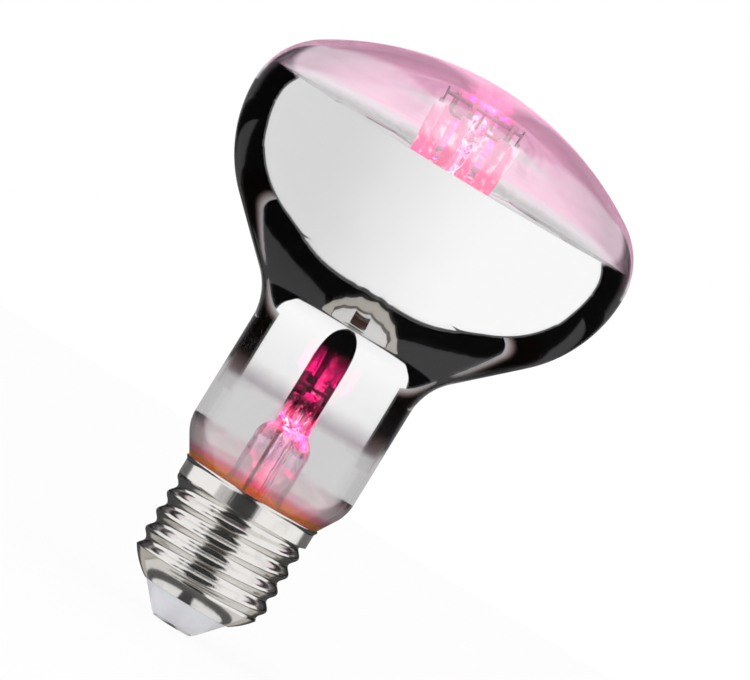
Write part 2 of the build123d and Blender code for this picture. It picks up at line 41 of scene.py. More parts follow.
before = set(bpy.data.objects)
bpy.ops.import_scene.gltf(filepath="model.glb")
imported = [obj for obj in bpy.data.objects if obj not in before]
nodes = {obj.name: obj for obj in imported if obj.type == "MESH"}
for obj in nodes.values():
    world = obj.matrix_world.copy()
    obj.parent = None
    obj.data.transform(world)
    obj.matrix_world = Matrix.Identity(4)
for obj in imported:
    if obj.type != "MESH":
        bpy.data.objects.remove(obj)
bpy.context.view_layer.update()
glass_low, glass_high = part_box("glass_bulb")
shell_low, shell_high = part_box("screw_shell")

MM = 0.001

# Steps round the axis of a turned piece, and the angle from which an edge stays hard
ROUND_STEPS = 192
HARD_EDGE = math.radians(38)

# Heights, in metres, from which and at which a change in a finish is none and full
# Painted pink filament light on the dome glass
DOME_PAINTED_PINK = (0.1000, 0.1110)
DOME_COAT = (0.0940, 0.0960)
# Painted pink filament light on the foot glass
FOOT_PAINTED_PINK = (0.0308, 0.0294)
RIM_CAST = (0.0292, 0.0286)
CLEAR_NECK = (0.0325, 0.0352)
FILM_STARTS = (0.0432, 0.0460)
FILM_CLOSES = (0.0480, 0.0580)
FILM_THINS = (0.0492, 0.0438)
# Below these heights the mirror film has no painted shade
NO_PAINTED_SHADE = (0.0680, 0.0600)
STEM_TUBE = (0.0300, 0.0400)
STEM_PRESS = (0.0385, 0.0415)
STEM_ROD = (0.0462, 0.0475)
CLEAR_ROD = (0.0560, 0.0620)
PALE_COAT = (0.0570, 0.0660)
COAT_FRINGE = (0.1000, 0.0970)
FADING_CARD = (0.0475, 0.0398)


# Properties


def length(name, description, millimetres):
    """A length property, written in millimetres and kept in metres."""
    return bpy.props.FloatProperty(
        name=name,
        description=description,
        default=millimetres * MM,
        precision=5,
        unit="LENGTH",
        subtype="DISTANCE",
    )


def colour(name, description, value):
    """A colour property, in linear values."""
    return bpy.props.FloatVectorProperty(
        name=name,
        description=description,
        default=value,
        size=3,
        min=0.0,
        max=1.0,
        subtype="COLOR",
    )


def angle(name, description, degrees):
    """An angle property, written in degrees."""
    return bpy.props.FloatProperty(
        name=name,
        description=description,
        default=math.radians(degrees),
        unit="ROTATION",
        subtype="ANGLE",
    )


class BulbSizes(bpy.types.PropertyGroup):
    """Sizes of the glass and the screw cap."""

    total_length: length("Total length", "Contact face to the top of the dome", glass_high.z / MM)
    bulb_diameter: length("Bulb diameter", "Widest part of the glass", (glass_high.x - glass_low.x) / MM)
    tail_height: length("Tail height", "Lower end of the glass, inside the cap", glass_low.z / MM)
    tail_diameter: length("Tail diameter", "Glass inside the cap", 23.0)
    dome_height: length("Dome height", "Top of the dome above the widest part", 21.0)
    dome_radius: length("Dome radius", "Curve of the dome", 58.5)
    bowl_radius: length("Bowl radius", "Curve of the bowl under the widest part", 26.0)
    cone_angle: angle("Cone angle", "Lean of the wall between bowl and waist", 46.5)
    waist_radius: length("Waist radius", "Hollow curve where the bowl meets the neck", 11.0)
    neck_diameter: length("Neck diameter", "Straight neck", 32.75)
    foot_angle: angle("Foot angle", "Lean of the foot", 31.0)
    foot_round: length("Foot round", "Curve between neck and foot", 8.0)
    foot_corner: length("Foot corner", "Height at which neck and foot would meet", 32.8)
    foot_fillet: length("Foot fillet", "Curve between foot and tail", 2.0)
    glass_wall: length("Glass wall", "Thickness of the blown glass", 0.9)
    mirror_low: length("Mirror low", "Lower end of the mirror film", 43.0)
    mirror_high: length("Mirror high", "Crisp upper edge of the mirror film", 95.0)
    mirror_film: length("Mirror film", "Thickness that the film is drawn with", 0.15)
    mirror_gap: length("Mirror gap", "Space kept between film and glass", 0.02)
    thread_pitch: length("Thread pitch", "Rise of one turn of the thread", 3.629)
    thread_diameter: length("Thread diameter", "Over the crests", 26.16)
    thread_root: length("Thread root", "Across the roots", 24.1)
    thread_phase: length("Thread phase", "Height of a crest on the +X side", 7.19)
    collar_diameter: length("Collar diameter", "Plain band over the thread", 26.3)
    rim_diameter: length("Rim diameter", "Flared lip", (shell_high.x - shell_low.x) / MM)
    shell_wall: length("Shell wall", "Thickness of the sheet metal", 0.3)
    lip_height: length("Lip height", "Flared lip over the collar", 0.75)
    collar_depth: length("Collar depth", "Top of the lip to the lower end of the collar", 3.55)
    collar_step: length("Collar step", "Height in which the bore widens to the collar", 0.5)
    end_diameter: length("End diameter", "Opening of the rounded lower end", 17.4)
    end_round: length("End round", "Curve of the rounded lower end", 14.0)
    end_reach: length("End reach", "Radius at which the rounded end meets the thread", 13.2)
    end_rise: length("End rise", "Height of the rounded end", 4.7)


class BulbColours(bpy.types.PropertyGroup):
    """Colours of the finishes."""

    clear_glass: colour("Clear glass", "Neck and bowl", (0.985, 0.985, 0.985))
    # Dome glass and foot glass are painted pink filament light on clear glass
    dome_glass_painted_pink: colour("Dome glass", "Pink cast of the dome", (0.97, 0.78, 0.88))
    foot_glass_painted_pink: colour("Foot glass", "Pink cast above the cap", (0.97, 0.45, 0.60))
    rim_glass: colour("Rim glass", "Orange cast next to the cement", (0.97, 0.50, 0.20))
    stem_glass: colour("Stem glass", "Tube of the stem", (0.98, 0.91, 0.95))
    # Press glass is painted pink filament light; glow, phosphor and hot phosphor also colour the painted glow
    # and glints of the stem
    press_glass_painted_pink: colour("Press glass", "Pinched part of the stem", (0.97, 0.52, 0.73))
    glow: colour("Glow", "Deep pink light inside the glass", (0.92, 0.012, 0.21))
    phosphor: colour("Phosphor", "Silicone coat of the filaments", (1.0, 0.52, 0.73))
    hot_phosphor: colour("Hot phosphor", "Coat over the chips", (1.0, 0.82, 0.90))
    mirror: colour("Mirror", "Aluminium film", (0.96, 0.96, 0.965))
    thin_mirror: colour("Thin mirror", "Film where it thins out on the neck", (0.40, 0.34, 0.38))
    nickel: colour("Nickel", "Plated cap", (0.82, 0.80, 0.775))
    plastic: colour("Plastic", "Cap insulator", (0.86, 0.85, 0.90))
    cement: colour("Cement", "Basing cement", (0.80, 0.40, 0.16))


class BulbStudio(bpy.types.PropertyGroup):
    """Camera and stage."""

    elevation: angle("Elevation", "Camera height over the widest part", 2.0)
    roll: angle("Roll", "Lean of the bulb in the picture", 31.5)
    distance: length("Distance", "Camera to the bulb axis", 5000.0)
    aim_height: length("Aim height", "Height of the point that the picture is set out from", 67.6)
    picture_width: length("Picture width", "Width that the picture shows at the axis", 132.74)
    aim_right: length("Aim right", "Picture centre right of the aim point", 0.71)
    aim_down: length("Aim down", "Picture centre below the aim point", 7.08)


# Finishes


class Finish:
    """One procedural material, with short ways to add nodes to it."""

    def __init__(self, name):
        self.material = bpy.data.materials.new(name)
        self.material.use_nodes = True
        self.tree = self.material.node_tree
        self.shader = self.tree.nodes["Principled BSDF"]
        self.place = self.add("ShaderNodeTexCoord").outputs["Object"]

    def add(self, kind, **settings):
        node = self.tree.nodes.new(kind)
        for key, value in settings.items():
            setattr(node, key, value)
        return node

    def feed(self, node, socket, value):
        """Sets a socket to a plain value, or links it to another node's output."""
        if isinstance(value, bpy.types.NodeSocket):
            self.tree.links.new(value, node.inputs[socket])
        else:
            node.inputs[socket].default_value = value

    def surface(self, **sockets):
        """Sets sockets of the shader, named with underscores for spaces."""
        for key, value in sockets.items():
            self.feed(self.shader, key.replace("_", " "), value)
        return self.material

    def stretched(self, x, y, z):
        """The place on the object with each direction scaled."""
        node = self.add("ShaderNodeMapping")
        self.feed(node, "Vector", self.place)
        node.inputs["Scale"].default_value = (x, y, z)
        return node.outputs["Vector"]

    def noise(self, scale, detail=3.0, place=None):
        """Soft uneven values from 0 to 1."""
        node = self.add("ShaderNodeTexNoise")
        self.feed(node, "Vector", place or self.place)
        self.feed(node, "Scale", scale)
        self.feed(node, "Detail", detail)
        self.feed(node, "Roughness", 0.55)
        return node.outputs["Fac"]

    def wander(self, scale, reach, detail=3.0):
        """An uneven shift of up to the reach either way."""
        return self.spread(self.noise(scale, detail), 0.0, 1.0, -reach, reach)

    def cells(self, scale, place):
        """Distance to the edge of irregular cells."""
        node = self.add("ShaderNodeTexVoronoi", feature="DISTANCE_TO_EDGE")
        self.feed(node, "Vector", place)
        self.feed(node, "Scale", scale)
        return node.outputs["Distance"]

    def axes(self):
        """The place on the object as its three parts, in metres."""
        node = self.add("ShaderNodeSeparateXYZ")
        self.feed(node, "Vector", self.place)
        return [node.outputs[axis] for axis in "XYZ"]

    def height(self):
        """Height above the contact face, in metres."""
        return self.axes()[2]

    def spread(self, value, low, high, to_low=0.0, to_high=1.0, smooth=False):
        """Maps a range of a value to another range, held at its ends."""
        node = self.add("ShaderNodeMapRange", clamp=True)
        if smooth:
            node.interpolation_type = "SMOOTHSTEP"
        self.feed(node, "Value", value)
        self.feed(node, "From Min", low)
        self.feed(node, "From Max", high)
        self.feed(node, "To Min", to_low)
        self.feed(node, "To Max", to_high)
        return node.outputs["Result"]

    def reckon(self, operation, first, second=0.0):
        node = self.add("ShaderNodeMath", operation=operation)
        self.feed(node, 0, first)
        self.feed(node, 1, second)
        return node.outputs["Value"]

    def sum(self, first, second):
        return self.reckon("ADD", first, second)

    def product(self, first, second):
        return self.reckon("MULTIPLY", first, second)

    def blend(self, factor, first, second):
        """Mixes two colours."""
        node = self.add("ShaderNodeMix", data_type="RGBA")
        self.feed(node, 0, factor)
        for socket, value in ((6, first), (7, second)):
            if not isinstance(value, bpy.types.NodeSocket):
                value = (*value[:3], 1.0)
            self.feed(node, socket, value)
        return node.outputs[2]

    def relief(self, height, strength, distance):
        """A bump, its depth in metres."""
        node = self.add("ShaderNodeBump")
        self.feed(node, "Height", height)
        self.feed(node, "Strength", strength)
        self.feed(node, "Distance", distance)
        self.feed(self.shader, "Normal", node.outputs["Normal"])

    def self_lit(self, tint, strength=1.0):
        """Makes a card that shows its own colour and reflects nothing."""
        return self.surface(
            Base_Color=(0.0, 0.0, 0.0, 1.0),
            Roughness=1.0,
            Specular_IOR_Level=0.0,
            Emission_Color=tint,
            Emission_Strength=strength,
        )


def shade(tint, factor):
    """A colour made darker or lighter."""
    return tuple(min(part * factor, 1.0) for part in tint[:3])


def blown_glass(tints):
    """Clear blown glass with faint waves, painted pink filament light as a pink tint at dome and foot, and a
    slightly milky foot.
    """
    finish = Finish("blown_glass")
    height = finish.height()
    level = finish.sum(height, finish.wander(60.0, 0.8 * MM))
    # Painted pink filament light: the foot and the dome are tinted pink where the filaments' glow is seen in
    # them
    foot = finish.spread(level, *FOOT_PAINTED_PINK, smooth=True)
    rim = finish.spread(level, *RIM_CAST, smooth=True)
    dome = finish.spread(level, *DOME_PAINTED_PINK, smooth=True)
    tint = finish.blend(dome, tints.clear_glass, tints.dome_glass_painted_pink)
    tint = finish.blend(foot, tint, tints.foot_glass_painted_pink)
    tint = finish.blend(rim, tint, tints.rim_glass)
    finish.relief(finish.noise(90.0, 2.0), 0.012, 0.0002)
    return finish.surface(
        Base_Color=tint,
        Roughness=finish.spread(finish.noise(240.0, 5.0), 0.45, 0.8, 0.0, 0.015),
        Transmission_Weight=finish.spread(level, *CLEAR_NECK, 0.85, 1.0, smooth=True),
        IOR=1.5,
        Coat_Weight=finish.spread(height, *DOME_COAT, 0.0, 0.45),
        Coat_IOR=1.9,
    )


def mirror_film(tints):
    """Bright film with painted shade that darkens it towards the -X side of the upper bowl, misted away along
    the neck.
    """
    finish = Finish("mirror_film")
    across, _, height = finish.axes()
    level = finish.sum(height, finish.wander(120.0, 0.6 * MM, 4.0))
    mist = finish.spread(level, *FILM_STARTS, smooth=True)
    close = finish.spread(level, *FILM_CLOSES, 0.78, 1.0)
    thin = finish.spread(level, *FILM_THINS, smooth=True)
    # Painted shade: the film darkens towards the -X side of the upper bowl, to 0.71 of its colour
    painted_side_shade = finish.spread(finish.sum(across, finish.wander(40.0, 6 * MM)), -0.022, 0.015, smooth=True)
    painted_side_shade = finish.reckon("MAXIMUM", painted_side_shade, finish.spread(level, *NO_PAINTED_SHADE))
    film = finish.blend(painted_side_shade, shade(tints.mirror, 0.71), tints.mirror)
    finish.relief(finish.noise(70.0, 2.0), 0.007, 0.0002)
    return finish.surface(
        Base_Color=finish.blend(thin, film, tints.thin_mirror),
        Metallic=1.0,
        Roughness=finish.spread(finish.noise(300.0, 3.0), 0.3, 0.7, 0.015, 0.035),
        Alpha=finish.product(mist, close),
    )


def stem_glass(tints):
    """Lamp-worked glass: clear tube, creased press and rod, with painted filament light: faint painted glow
    streaks on the tube, painted glints and painted pink on the press, painted pink glow streaks on the rod.
    """
    finish = Finish("stem_glass")
    height = finish.height()
    press = finish.spread(height, *STEM_PRESS, smooth=True)
    rod = finish.spread(height, *STEM_ROD, smooth=True)
    clear = finish.spread(height, *CLEAR_ROD, smooth=True)
    creases = finish.spread(finish.cells(560.0, finish.stretched(1.0, 1.0, 0.6)), 0.0, 0.10, 1.0, 0.0)
    # Painted glints: white emission spots along the crease edges of the press
    painted_glints = finish.product(creases, finish.spread(finish.noise(420.0), 0.50, 0.60))
    painted_glints = finish.product(painted_glints, press)
    streaks = finish.noise(900.0, 2.0, finish.stretched(1.0, 1.0, 0.04))
    streaks = finish.spread(streaks, 0.46, 0.60)
    # Painted glow: streaked emission on the tube, press and rod stands in for pink filament light on the stem
    painted_tube_glow = finish.product(streaks, finish.spread(height, *STEM_TUBE, 0.04, 0.22))
    painted_press_glow = finish.spread(creases, 0.0, 1.0, 0.10, 0.45)
    painted_rod_glow = finish.spread(streaks, 0.0, 1.0, 0.3, 10.0)
    deep = finish.blend(press, painted_tube_glow, painted_press_glow)
    deep = finish.blend(rod, deep, painted_rod_glow)
    deep = finish.blend(clear, deep, (0.06, 0.06, 0.06))
    # The pink of the press and rod is painted filament light too
    pinched = finish.reckon("SUBTRACT", press, clear)
    finish.relief(finish.sum(finish.product(creases, press), finish.noise(400.0)), 0.35, 0.0003)
    return finish.surface(
        Base_Color=finish.blend(pinched, tints.stem_glass, tints.press_glass_painted_pink),
        Roughness=finish.spread(finish.noise(500.0), 0.4, 0.8, 0.0, 0.04),
        Transmission_Weight=1.0,
        IOR=1.5,
        Emission_Color=finish.blend(
            painted_glints, finish.blend(pinched, tints.phosphor, tints.glow), tints.hot_phosphor
        ),
        Emission_Strength=finish.sum(deep, painted_glints),
    )


def phosphor_coat(tints):
    """Silicone coat, deep pink and bright low down, near white in uneven blocks at the top."""
    finish = Finish("phosphor_coat")
    height = finish.height()
    top = finish.spread(height, *PALE_COAT, smooth=True)
    blocks = finish.noise(330.0, 2.0, finish.stretched(1.0, 1.0, 0.75))
    streaks = finish.noise(1500.0, 2.0, finish.stretched(1.0, 1.0, 0.03))
    chip = finish.spread(blocks, 0.46, 0.60, smooth=True)
    warm = finish.blend(chip, tints.phosphor, tints.hot_phosphor)
    low = finish.spread(streaks, 0.46, 0.56, 1.5, 22.0)
    ragged = finish.spread(finish.noise(650.0), 0.36, 0.46)
    fringe = finish.product(finish.spread(height, *COAT_FRINGE, smooth=True), ragged)
    finish.relief(finish.sum(blocks, finish.noise(1500.0)), 0.3, 0.0002)
    return finish.surface(
        Base_Color=finish.blend(finish.noise(900.0), tints.phosphor, shade(tints.phosphor, 0.85)),
        Roughness=finish.spread(finish.noise(1200.0), 0.3, 0.7, 0.22, 0.38),
        Subsurface_Weight=0.3,
        Subsurface_Scale=0.001,
        Emission_Color=finish.blend(fringe, finish.blend(top, tints.glow, warm), tints.glow),
        Emission_Strength=finish.blend(top, low, finish.spread(chip, 0.0, 1.0, 0.48, 0.80)),
    )


def plated(name, tint, rough, lines, wear, metal=1.0):
    """Plated or drawn metal with fine lines round or along it and dull patches."""
    finish = Finish(name)
    fine = finish.noise(1.0, 3.0, finish.stretched(*lines))
    patch = finish.noise(260.0, 4.0)
    tarnish = finish.spread(patch, 0.52, 0.75, 0.0, wear)
    finish.relief(fine, 0.25, 0.00004)
    return finish.surface(
        Base_Color=finish.blend(tarnish, tint, shade(tint, 0.62)),
        Metallic=metal,
        Roughness=finish.sum(
            finish.spread(fine, 0.3, 0.7, rough * 0.8, rough * 1.2),
            finish.spread(patch, 0.4, 0.8, 0.0, 0.06),
        ),
    )


def moulded(name, tint, rough, grain, soft=0.0, mottle=0.06):
    """Moulded or cast stuff with a fine grain and a little mottling."""
    finish = Finish(name)
    spots = finish.noise(grain * 0.25, 4.0)
    fine = finish.noise(grain, 4.0)
    finish.relief(fine, 0.2, 0.00006)
    dark = shade(tint, 1.0 - mottle)
    light = shade(tint, 1.0 + mottle)
    return finish.surface(
        Base_Color=finish.blend(finish.spread(spots, 0.3, 0.7), dark, light),
        Roughness=finish.spread(fine, 0.3, 0.7, rough * 0.85, rough * 1.15),
        Subsurface_Weight=soft,
        Subsurface_Scale=0.002,
    )


def board_laminate():
    """Green board with copper tracks under the lacquer."""
    finish = Finish("board_laminate")
    tracks = finish.add("ShaderNodeTexBrick", offset=0.37, squash=1.6)
    finish.feed(tracks, "Vector", finish.place)
    finish.feed(tracks, "Scale", 420.0)
    finish.feed(tracks, "Mortar Size", 0.03)
    line = finish.spread(tracks.outputs["Fac"], 0.2, 0.8)
    grain = finish.spread(finish.noise(1800.0), 0.3, 0.7)
    green = finish.blend(grain, (0.05, 0.22, 0.11), (0.09, 0.33, 0.17))
    finish.relief(line, 0.3, 0.00005)
    return finish.surface(
        Base_Color=finish.blend(line, green, (0.20, 0.42, 0.16)),
        Roughness=finish.spread(grain, 0.0, 1.0, 0.32, 0.45),
    )


def dress(material, *names):
    """Gives a finish to nodes of the frame."""
    for name in names:
        mesh = nodes[name].data
        mesh.materials.clear()
        mesh.materials.append(material)


# Turned and rolled pieces


def bend(start, end, radius, steps=36):
    """Points of an arc after its start; a negative radius bows away from the bulb axis."""
    first = Vector(start)
    last = Vector(end)
    run = last - first
    reach = math.sqrt(radius * radius - run.length_squared / 4)
    left = Vector((-run.y, run.x)).normalized()
    centre = (first + last) / 2 + left * math.copysign(reach, -radius)
    begin = math.atan2(first.y - centre.y, first.x - centre.x)
    turn = math.atan2(last.y - centre.y, last.x - centre.x) - begin
    turn = (turn + math.pi) % (2 * math.pi) - math.pi
    points = []
    for k in range(1, steps + 1):
        at = begin + turn * k / steps
        points.append((centre.x + abs(radius) * math.cos(at), centre.y + abs(radius) * math.sin(at)))
    return points


class Outline:
    """Section of the glass, from the sizes."""

    def __init__(self, sizes):
        self.sizes = sizes
        self.cone = sizes.cone_angle
        self.foot = sizes.foot_angle
        bulb = sizes.bulb_diameter / 2
        neck = sizes.neck_diameter / 2
        tail = sizes.tail_diameter / 2
        self.equator = sizes.total_length - sizes.dome_height
        self.cone_high = (
            bulb - sizes.bowl_radius * (1 - math.cos(self.cone)),
            self.equator - sizes.bowl_radius * math.sin(self.cone),
        )
        corner = self.cone_high[1] - (self.cone_high[0] - neck) / math.tan(self.cone)
        run = sizes.waist_radius * math.tan(self.cone / 2)
        self.neck_high = corner - run
        self.cone_low = (neck + run * math.sin(self.cone), corner + run * math.cos(self.cone))
        run = sizes.foot_round * math.tan(self.foot / 2)
        self.neck_low = sizes.foot_corner + run
        self.foot_high = (neck - run * math.sin(self.foot), sizes.foot_corner - run * math.cos(self.foot))
        corner = sizes.foot_corner - (neck - tail) / math.tan(self.foot)
        run = sizes.foot_fillet * math.tan(self.foot / 2)
        self.tail_high = corner - run
        self.foot_low = (tail + run * math.sin(self.foot), corner + run * math.cos(self.foot))
        rise = sizes.dome_height - sizes.dome_radius
        self.shoulder_radius = (sizes.dome_radius**2 - bulb**2 - rise**2) / (2 * (sizes.dome_radius - bulb))
        self.lean = math.atan2(rise, bulb - self.shoulder_radius)
        self.shoulder = (
            sizes.dome_radius * math.cos(self.lean),
            sizes.total_length - sizes.dome_radius - sizes.dome_radius * math.sin(self.lean),
        )

    def inward(self, point, lean, inset):
        return (point[0] - inset * math.cos(lean), point[1] + inset * math.sin(lean))

    def bowl(self, inset, low):
        """Neck, waist and bowl up to the widest part."""
        neck = self.sizes.neck_diameter / 2 - inset
        slope_low = self.inward(self.cone_low, self.cone, inset)
        slope_high = self.inward(self.cone_high, self.cone, inset)
        widest = (self.sizes.bulb_diameter / 2 - inset, self.equator)
        points = [(neck, low)]
        if low < self.neck_high:
            steps = 16
            points = [(neck, low + (self.neck_high - low) * k / steps) for k in range(steps + 1)]
        points += bend((neck, self.neck_high), slope_low, self.sizes.waist_radius + inset)
        points.append(slope_high)
        points += bend(slope_high, widest, inset - self.sizes.bowl_radius)
        return points

    def whole(self, inset):
        """Tail to the top of the dome."""
        tail = self.sizes.tail_diameter / 2 - inset
        slope_low = self.inward(self.foot_low, self.foot, inset)
        slope_high = self.inward(self.foot_high, self.foot, inset)
        neck = (self.sizes.neck_diameter / 2 - inset, self.neck_low)
        points = [(tail, self.sizes.tail_height), (tail, self.tail_high)]
        points += bend((tail, self.tail_high), slope_low, self.sizes.foot_fillet + inset, 10)
        points.append(slope_high)
        points += bend(slope_high, neck, inset - self.sizes.foot_round, 16)
        points += self.bowl(inset, self.neck_low)[1:]
        shoulder = self.inward(self.shoulder, self.lean, inset)
        top = (0.0, self.sizes.total_length - inset)
        points += bend(points[-1], shoulder, inset - self.shoulder_radius, 24)
        points += bend(shoulder, top, inset - self.sizes.dome_radius, 40)
        points[-1] = top
        return points

    def film(self, inset):
        """Mirror film from its lower end to its crisp edge."""
        reach = self.shoulder_radius - inset
        high = self.sizes.mirror_high
        edge = self.sizes.bulb_diameter / 2 - self.shoulder_radius
        edge += math.sqrt(reach**2 - (high - self.equator) ** 2)
        points = self.bowl(inset, self.sizes.mirror_low)
        return points + bend(points[-1], (edge, high), inset - self.shoulder_radius, 12)


def new_piece(name, vertices, faces, material, node):
    """A smooth mesh that stands in for a node of the frame."""
    mesh = bpy.data.meshes.new(name)
    mesh.from_pydata(vertices, [], faces)
    mesh.validate()
    mesh.polygons.foreach_set("use_smooth", [True] * len(mesh.polygons))
    mesh.set_sharp_from_angle(angle=HARD_EDGE)
    mesh.materials.append(material)
    piece = bpy.data.objects.new(name, mesh)
    bpy.context.scene.collection.objects.link(piece)
    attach(piece, "root")
    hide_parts(node)
    return piece


def turned(points, segments=ROUND_STEPS):
    """Vertices and faces of a closed section turned round the axis; points on the axis close it."""
    on_axis = 1e-7
    vertices = []
    rings = []
    for radius, height in points:
        count = segments if radius > on_axis else 1
        rings.append((len(vertices), count))
        for k in range(count):
            at = 2 * math.pi * k / segments
            vertices.append((radius * math.cos(at), radius * math.sin(at), height))
    faces = []
    for here, there in zip(rings, rings[1:] + rings[:1]):
        if here[1] == 1 and there[1] == 1:
            continue
        for k in range(segments):
            follow = (k + 1) % segments
            corners = [
                here[0] + k % here[1],
                here[0] + follow % here[1],
                there[0] + follow % there[1],
                there[0] + k % there[1],
            ]
            faces.append(list(dict.fromkeys(corners)))
    return vertices, faces


class GROWBULB_OT_glass(bpy.types.Operator):
    """Blow the glass bulb in one piece"""

    bl_idname = "growbulb.glass"
    bl_label = "Glass Bulb"

    def execute(self, context):
        sizes = context.scene.bulb_sizes
        outline = Outline(sizes)
        section = outline.whole(0.0) + outline.whole(sizes.glass_wall)[::-1]
        vertices, faces = turned(section)
        finish = blown_glass(context.scene.bulb_colours)
        new_piece("blown_glass", vertices, faces, finish, "glass_bulb")
        return {"FINISHED"}


class GROWBULB_OT_mirror(bpy.types.Operator):
    """Line the bowl and the upper neck with the mirror film"""

    bl_idname = "growbulb.mirror"
    bl_label = "Mirror Film"

    def execute(self, context):
        sizes = context.scene.bulb_sizes
        outline = Outline(sizes)
        face = outline.film(sizes.glass_wall + sizes.mirror_gap)
        back = outline.film(sizes.glass_wall + sizes.mirror_film)
        vertices, faces = turned(face + back[::-1])
        finish = mirror_film(context.scene.bulb_colours)
        new_piece("mirror_film", vertices, faces, finish, "mirror_coating")
        return {"FINISHED"}


class GROWBULB_OT_stem(bpy.types.Operator):
    """Finish the glass stem and the wires sealed into it"""

    bl_idname = "growbulb.stem"
    bl_label = "Stem and Leads"

    def execute(self, context):
        tints = context.scene.bulb_colours
        dress(stem_glass(tints), "glass_stem")
        dress(
            plated("copper_seal", (0.42, 0.08, 0.07), 0.35, (900, 900, 60), 0.5),
            "seal_wire_plus",
            "seal_wire_minus",
        )
        dress(
            plated("dull_tinned_wire", (0.30, 0.22, 0.21), 0.38, (900, 900, 40), 0.6),
            "outer_lead_plus",
            "outer_lead_minus",
        )
        return {"FINISHED"}


class GROWBULB_OT_filaments(bpy.types.Operator):
    """Finish the filaments, their carriers and the top supports"""

    bl_idname = "growbulb.filaments"
    bl_label = "Filaments"

    def execute(self, context):
        coat = phosphor_coat(context.scene.bulb_colours)
        strip = moulded("fired_strip", (0.88, 0.87, 0.84), 0.5, 2400.0)
        tab = plated("tab_plate", (0.66, 0.64, 0.62), 0.3, (300, 300, 1500), 0.4)
        wire = plated("drawn_nickel", (0.95, 0.88, 0.90), 0.34, (1200, 1200, 90), 0.2, 0.15)
        for k in range(1, 7):
            dress(coat, f"filament_coat_{k}")
            dress(strip, f"filament_strip_{k}")
            dress(tab, f"filament_tabs_{k}")
        dress(wire, "top_hoop", "feed_arc_plus", "feed_arc_minus", "inner_lead_plus", "inner_lead_minus")
        dress(wire, *(f"hoop_support_{k}" for k in range(1, 4)))
        return {"FINISHED"}


class GROWBULB_OT_cap(bpy.types.Operator):
    """Roll the screw shell and finish the insulator, contact and cement"""

    bl_idname = "growbulb.cap"
    bl_label = "Screw Cap"

    def execute(self, context):
        sizes = context.scene.bulb_sizes
        tints = context.scene.bulb_colours
        metal = plated("nickel_plate", tints.nickel, 0.15, (2600, 2600, 60), 0.35, 0.98)
        vertices, faces = rolled_shell(sizes)
        new_piece("rolled_shell", vertices, faces, metal, "screw_shell")
        dress(moulded("white_moulding", tints.plastic, 0.32, 1600.0, 0.25, 0.02), "cap_insulator")
        dress(plated("tinned_rivet", (0.62, 0.61, 0.60), 0.34, (700, 700, 700), 0.6), "centre_contact")
        dress(moulded("orange_cement", tints.cement, 0.62, 900.0, 0.1, 0.22), "basing_cement")
        return {"FINISHED"}


def rolled_shell(sizes):
    """Thin shell with the knuckle thread, plain collar and flared lip."""
    segments = ROUND_STEPS
    throw = (sizes.thread_diameter - sizes.thread_root) / 4
    mean = (sizes.thread_diameter + sizes.thread_root) / 4
    bore = sizes.thread_root / 2 - sizes.shell_wall
    collar = sizes.collar_diameter / 2
    rim = sizes.rim_diameter / 2
    wall = sizes.shell_wall
    low = shell_low.z
    high = shell_high.z
    collar_low = high - sizes.collar_depth
    collar_high = high - sizes.lip_height
    end_radius = sizes.end_diameter / 2
    end_curve = [(end_radius, low)]
    end_curve += bend(end_curve[0], (sizes.end_reach, low + sizes.end_rise), -sizes.end_round, 60)

    def end_limit(height):
        for (near, below), (far, above) in zip(end_curve, end_curve[1:]):
            if height <= above:
                return near + (far - near) * (height - below) / (above - below)
        return rim

    def thread(at, height):
        turn = at - 2 * math.pi * (height - sizes.thread_phase) / sizes.thread_pitch
        return throw * math.cos(turn) + math.sqrt(mean**2 - (throw * math.sin(turn)) ** 2)

    rows = 150
    rings = []
    for k in range(rows + 1):
        height = low + (collar_low - low) * k / rows
        widened = max(0.0, 1 + (height - collar_low) / sizes.collar_step)
        step = bore + (collar - bore) * widened
        limit = end_limit(height)
        ring = []
        for j in range(segments):
            reach = min(thread(2 * math.pi * j / segments, height), limit)
            ring.append((max(reach, step if step > bore else 0.0), height))
        rings.append(ring)
    lip = [
        (collar, collar_low + 0.05 * MM),
        (collar, collar_high - 0.2 * MM),
        (collar, collar_high),
        (collar + 0.09 * MM, collar_high + 0.13 * MM),
        (rim - 0.04 * MM, high - 0.28 * MM),
        (rim, high - 0.20 * MM),
        (rim, high - 0.08 * MM),
        (rim - 0.08 * MM, high),
        (rim - wall + 0.06 * MM, high),
        (rim - wall, high - 0.25 * MM),
        (collar - wall, collar_high),
        (collar - wall, collar_low + wall),
        (bore, collar_low - sizes.collar_step + wall),
        (bore, low + wall + bore - end_radius + wall),
        (end_radius - wall, low + wall),
        (end_radius - wall, low),
    ]
    for radius, height in lip:
        rings.append([(radius, height)] * segments)
    vertices = []
    for ring in rings:
        for j, (radius, height) in enumerate(ring):
            at = 2 * math.pi * j / segments
            vertices.append((radius * math.cos(at), radius * math.sin(at), height))
    faces = []
    for i in range(len(rings)):
        below = i * segments
        above = (i + 1) % len(rings) * segments
        for j in range(segments):
            follow = (j + 1) % segments
            faces.append((below + j, below + follow, above + follow, above + j))
    return vertices, faces


